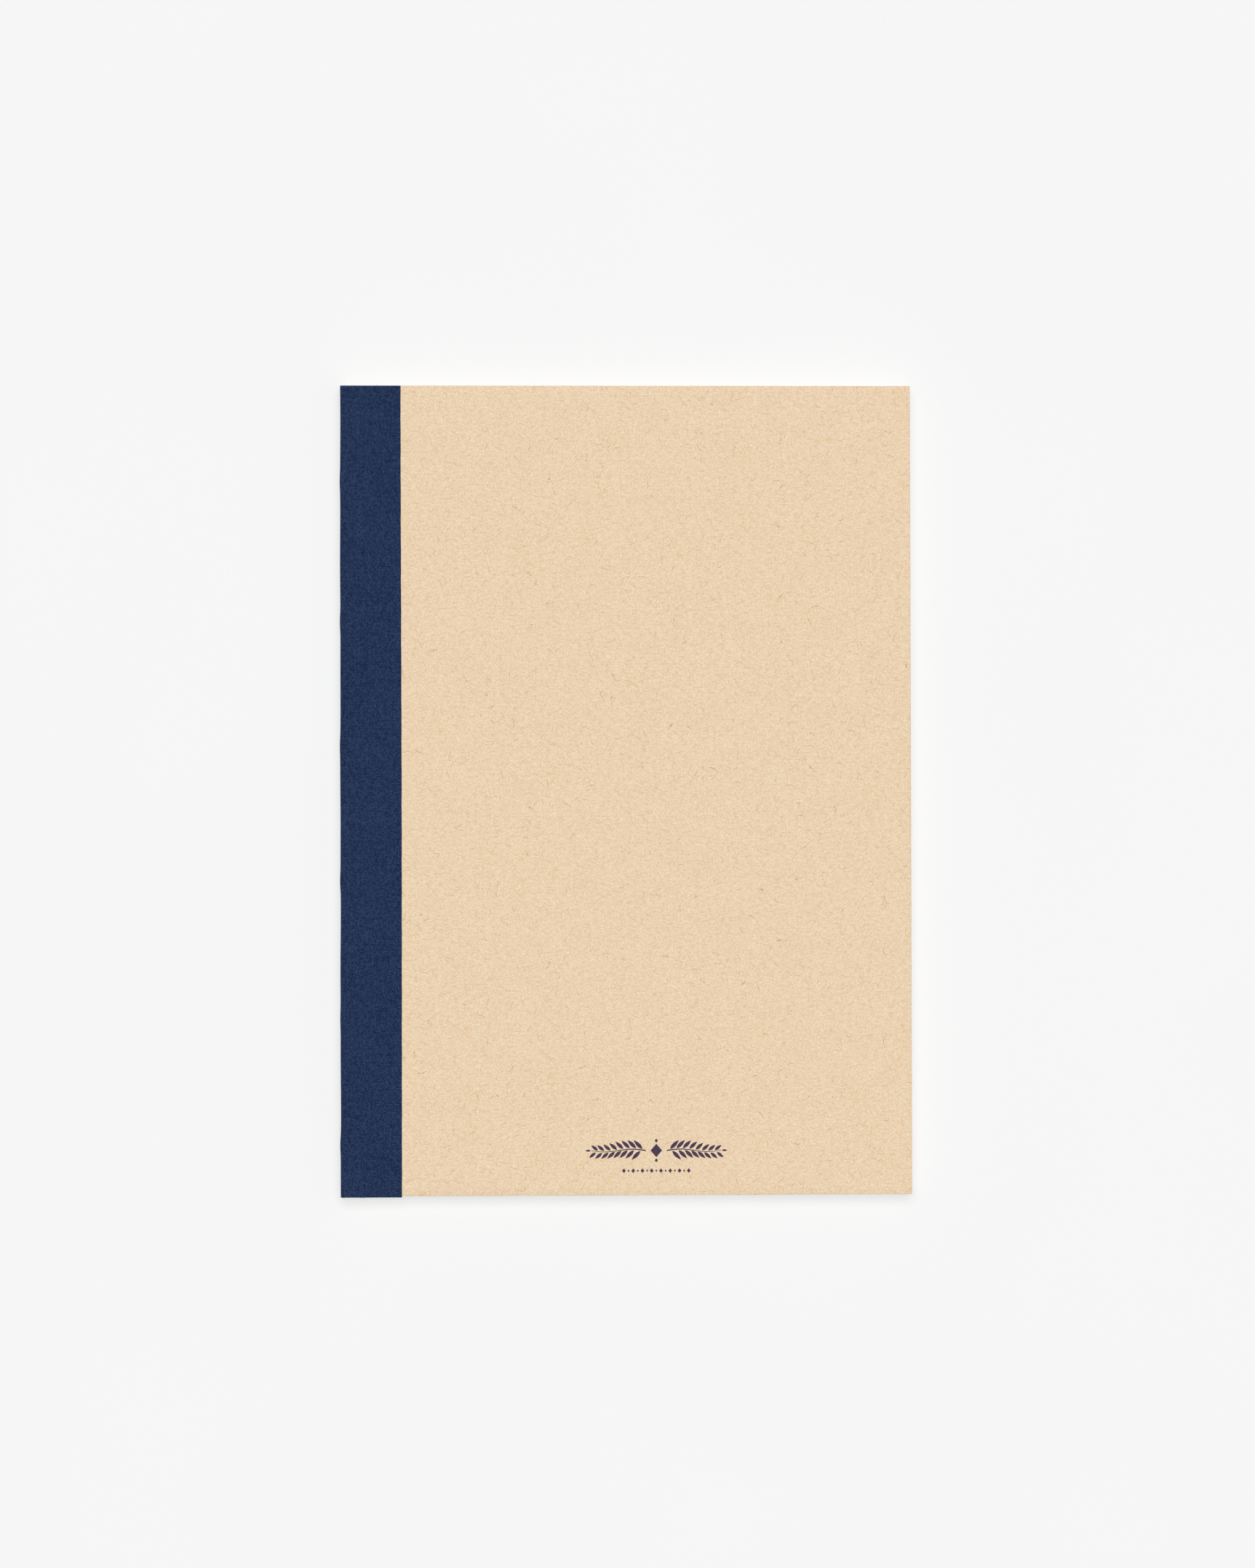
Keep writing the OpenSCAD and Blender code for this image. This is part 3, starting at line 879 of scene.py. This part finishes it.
ls = []
for i, y in enumerate(STATIONS):
    for n in range(1, 7):
        s = -0.3 if n % 2 else 0.3
        zz = ZC + (3.5 - n) * PITCH
        t = np.linspace(-1, 1, 9)
        pts = np.stack([XS - 0.05 - 0.012 * (1 - t * t), y + s + 0.10 * t * (1 if n % 2 else -1), zz + t * PITCH * 0.45], 1)
        ls.append(tube_data(pts, 0.042, 6, taper=False))
V, F, U, A = join_data(ls)
bent(make_object("link_loops", settle(V), F, U, M_THREAD), "link_stitches")

# ---------------------------------------------- printed ornament on the cover
def film(polys, z, t):
    """Thin films of ink from flat outlines given as (upper edge, lower edge) strips."""
    parts = []
    for up, dn in polys:
        up, dn = np.asarray(up, float), np.asarray(dn, float)
        n = len(up)
        V = np.concatenate([np.c_[up, np.full(n, z + t)], np.c_[dn, np.full(n, z + t)], np.c_[up, np.full(n, z - t)], np.c_[dn, np.full(n, z - t)]])
        F = []
        for i in range(n - 1):
            F.append([i, n + i, n + i + 1, i + 1])
            F.append([2 * n + i, 2 * n + i + 1, 3 * n + i + 1, 3 * n + i])
            F.append([i, i + 1, 2 * n + i + 1, 2 * n + i])
            F.append([n + i, 3 * n + i, 3 * n + i + 1, n + i + 1])
        F.append([0, 2 * n, 3 * n, n])
        F.append([n - 1, 2 * n - 1, 4 * n - 1, 3 * n - 1])
        parts.append((V, F, V[:, :2].copy(), 0.5))
    return parts


CX, CY = 7.75, -93.4


def stroke(pts, width):
    """A pen stroke of changing width along a smooth line of points."""
    P = np.asarray(pts, float)
    d = np.gradient(P, axis=0)
    n = np.stack([-d[:, 1], d[:, 0]], 1)
    n /= np.maximum(np.linalg.norm(n, axis=1)[:, None], 1e-9)
    w = np.asarray([width(t) for t in np.linspace(0, 1, len(P))])[:, None] / 2
    return P + n * w, P - n * w


def leaf(bx, by, ang, length, width, n=15):
    """A pointed leaf from its foot at (bx, by)."""
    k = np.linspace(0, 1, n)
    half = width / 2 * np.sin(math.pi * k ** 0.85) ** 0.9 + 0.012
    c, d = math.cos(ang), math.sin(ang)
    ax = np.c_[bx + c * length * k, by + d * length * k]
    nn = np.array([-d, c])
    return ax + half[:, None] * nn, ax - half[:, None] * nn


shapes = []
for side in (1, -1):
    t = np.linspace(0, 1, 60)
    stem = np.c_[(2.7 + 14.2 * t) * side, 0.34 * np.sin(2 * math.pi * t)]
    shapes.append(stroke(stem, lambda k: 0.34 - 0.22 * k))
    for i in range(8):
        f = (i + 0.55) / 8.6
        px, py = 2.7 + 14.2 * f, 0.34 * math.sin(2 * math.pi * f)
        L, W = 3.25 - 1.25 * f, 0.98 - 0.22 * f
        for up in (1, -1):
            ang = math.radians(46 - 8 * f)
            foot = (px + (0.0 if up > 0 else 0.55), py + up * 0.27)
            u_, d_ = leaf(foot[0], foot[1], up * ang, L, W)
            shapes.append((u_ * [side, 1], d_ * [side, 1]))
    u_, d_ = leaf(17.0, 0.0, 0.0, 1.4, 0.5)
    shapes.append((u_ * [side, 1], d_ * [side, 1]))
# diamond in the middle with a smaller one above and below
for cx, cy, r in ((0, 0, 1.75), (0, 2.55, 0.52), (0, -2.55, 0.52)):
    k = np.linspace(-1, 1, 21)
    h = (1 - np.abs(k)) * r + 0.004
    shapes.append((np.c_[cx + k * r * 0.86, cy + h], np.c_[cx + k * r * 0.86, cy - h]))
# a row of small lozenges underneath
for i in range(15):
    r = 0.62 if i % 2 == 0 else 0.34
    k = np.linspace(-1, 1, 11)
    h = (1 - np.abs(k)) * r + 0.004
    cx = (i - 7) * 1.2
    shapes.append((np.c_[cx + k * r * 0.8, -5.25 + h], np.c_[cx + k * r * 0.8, -5.25 - h]))
shapes = [(np.asarray(a) + [CX, CY], np.asarray(b) + [CX, CY]) for a, b in shapes]
V, F, U, A = join_data(film(shapes, CARD_TOP, 0.006))
pr = make_object("front_ornament", settle(V), F, U, M_INK, sharp=30)
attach(pr, "front_cover")

# ------------------------------------------------------ floor, light, camera
bpy.ops.mesh.primitive_plane_add(size=12, location=(0, 0, -0.00004))
floor = bpy.context.object
floor.name = "floor"
fm = Mat("floor_paper")
fn = fm.noise(fm.object_mm(), 0.01, 2.0, 0.5, "3D")[0]
fm.finish(fm.mix(fm.smooth(fn, 0.3, 0.7), (0.459, 0.459, 0.459), (0.463, 0.463, 0.463)), 0.95, None, Specular_IOR_Level=0.0,
          Emission_Color=(1.0, 1.0, 1.0, 1.0), Emission_Strength=0.46)
floor.data.materials.append(fm.m)

world = bpy.data.worlds.new("studio")
scene.world = world
world.use_nodes = True
wn = world.node_tree
bg = wn.nodes["Background"]
bg.inputs[0].default_value = (1.0, 1.0, 1.0, 1.0)
bg.inputs[1].default_value = 0.14


def sun(name, elev, azim, strength, angle):
    d = bpy.data.lights.new(name, "SUN")
    d.energy = strength
    d.angle = math.radians(angle)
    o = bpy.data.objects.new(name, d)
    scene.collection.objects.link(o)
    e, a = math.radians(elev), math.radians(azim)
    v = (math.sin(a) * math.cos(e), math.cos(a) * math.cos(e), math.sin(e))   # azimuth from +Y towards +X
    from mathutils import Vector
    o.rotation_euler = Vector(v).to_track_quat("Z", "Y").to_euler()
    return o


sun("overhead", 90, 0, math.pi * 0.27, 3)
sun("broad_from_head", 78.5, 0, math.pi * 0.61, 36)

cam_d = bpy.data.cameras.new("camera")
cam = bpy.data.objects.new("camera", cam_d)
scene.collection.objects.link(cam)
DIST = 1.6
PX_MM = 5.296
cam_d.sensor_width = 36
cam_d.lens = 36 * DIST / (2156 / PX_MM * MM)
cam.location = (1.9 / PX_MM * MM, 9.0 / PX_MM * MM, DIST + T * MM)
cam.rotation_euler = (0, 0, 0)
scene.camera = cam
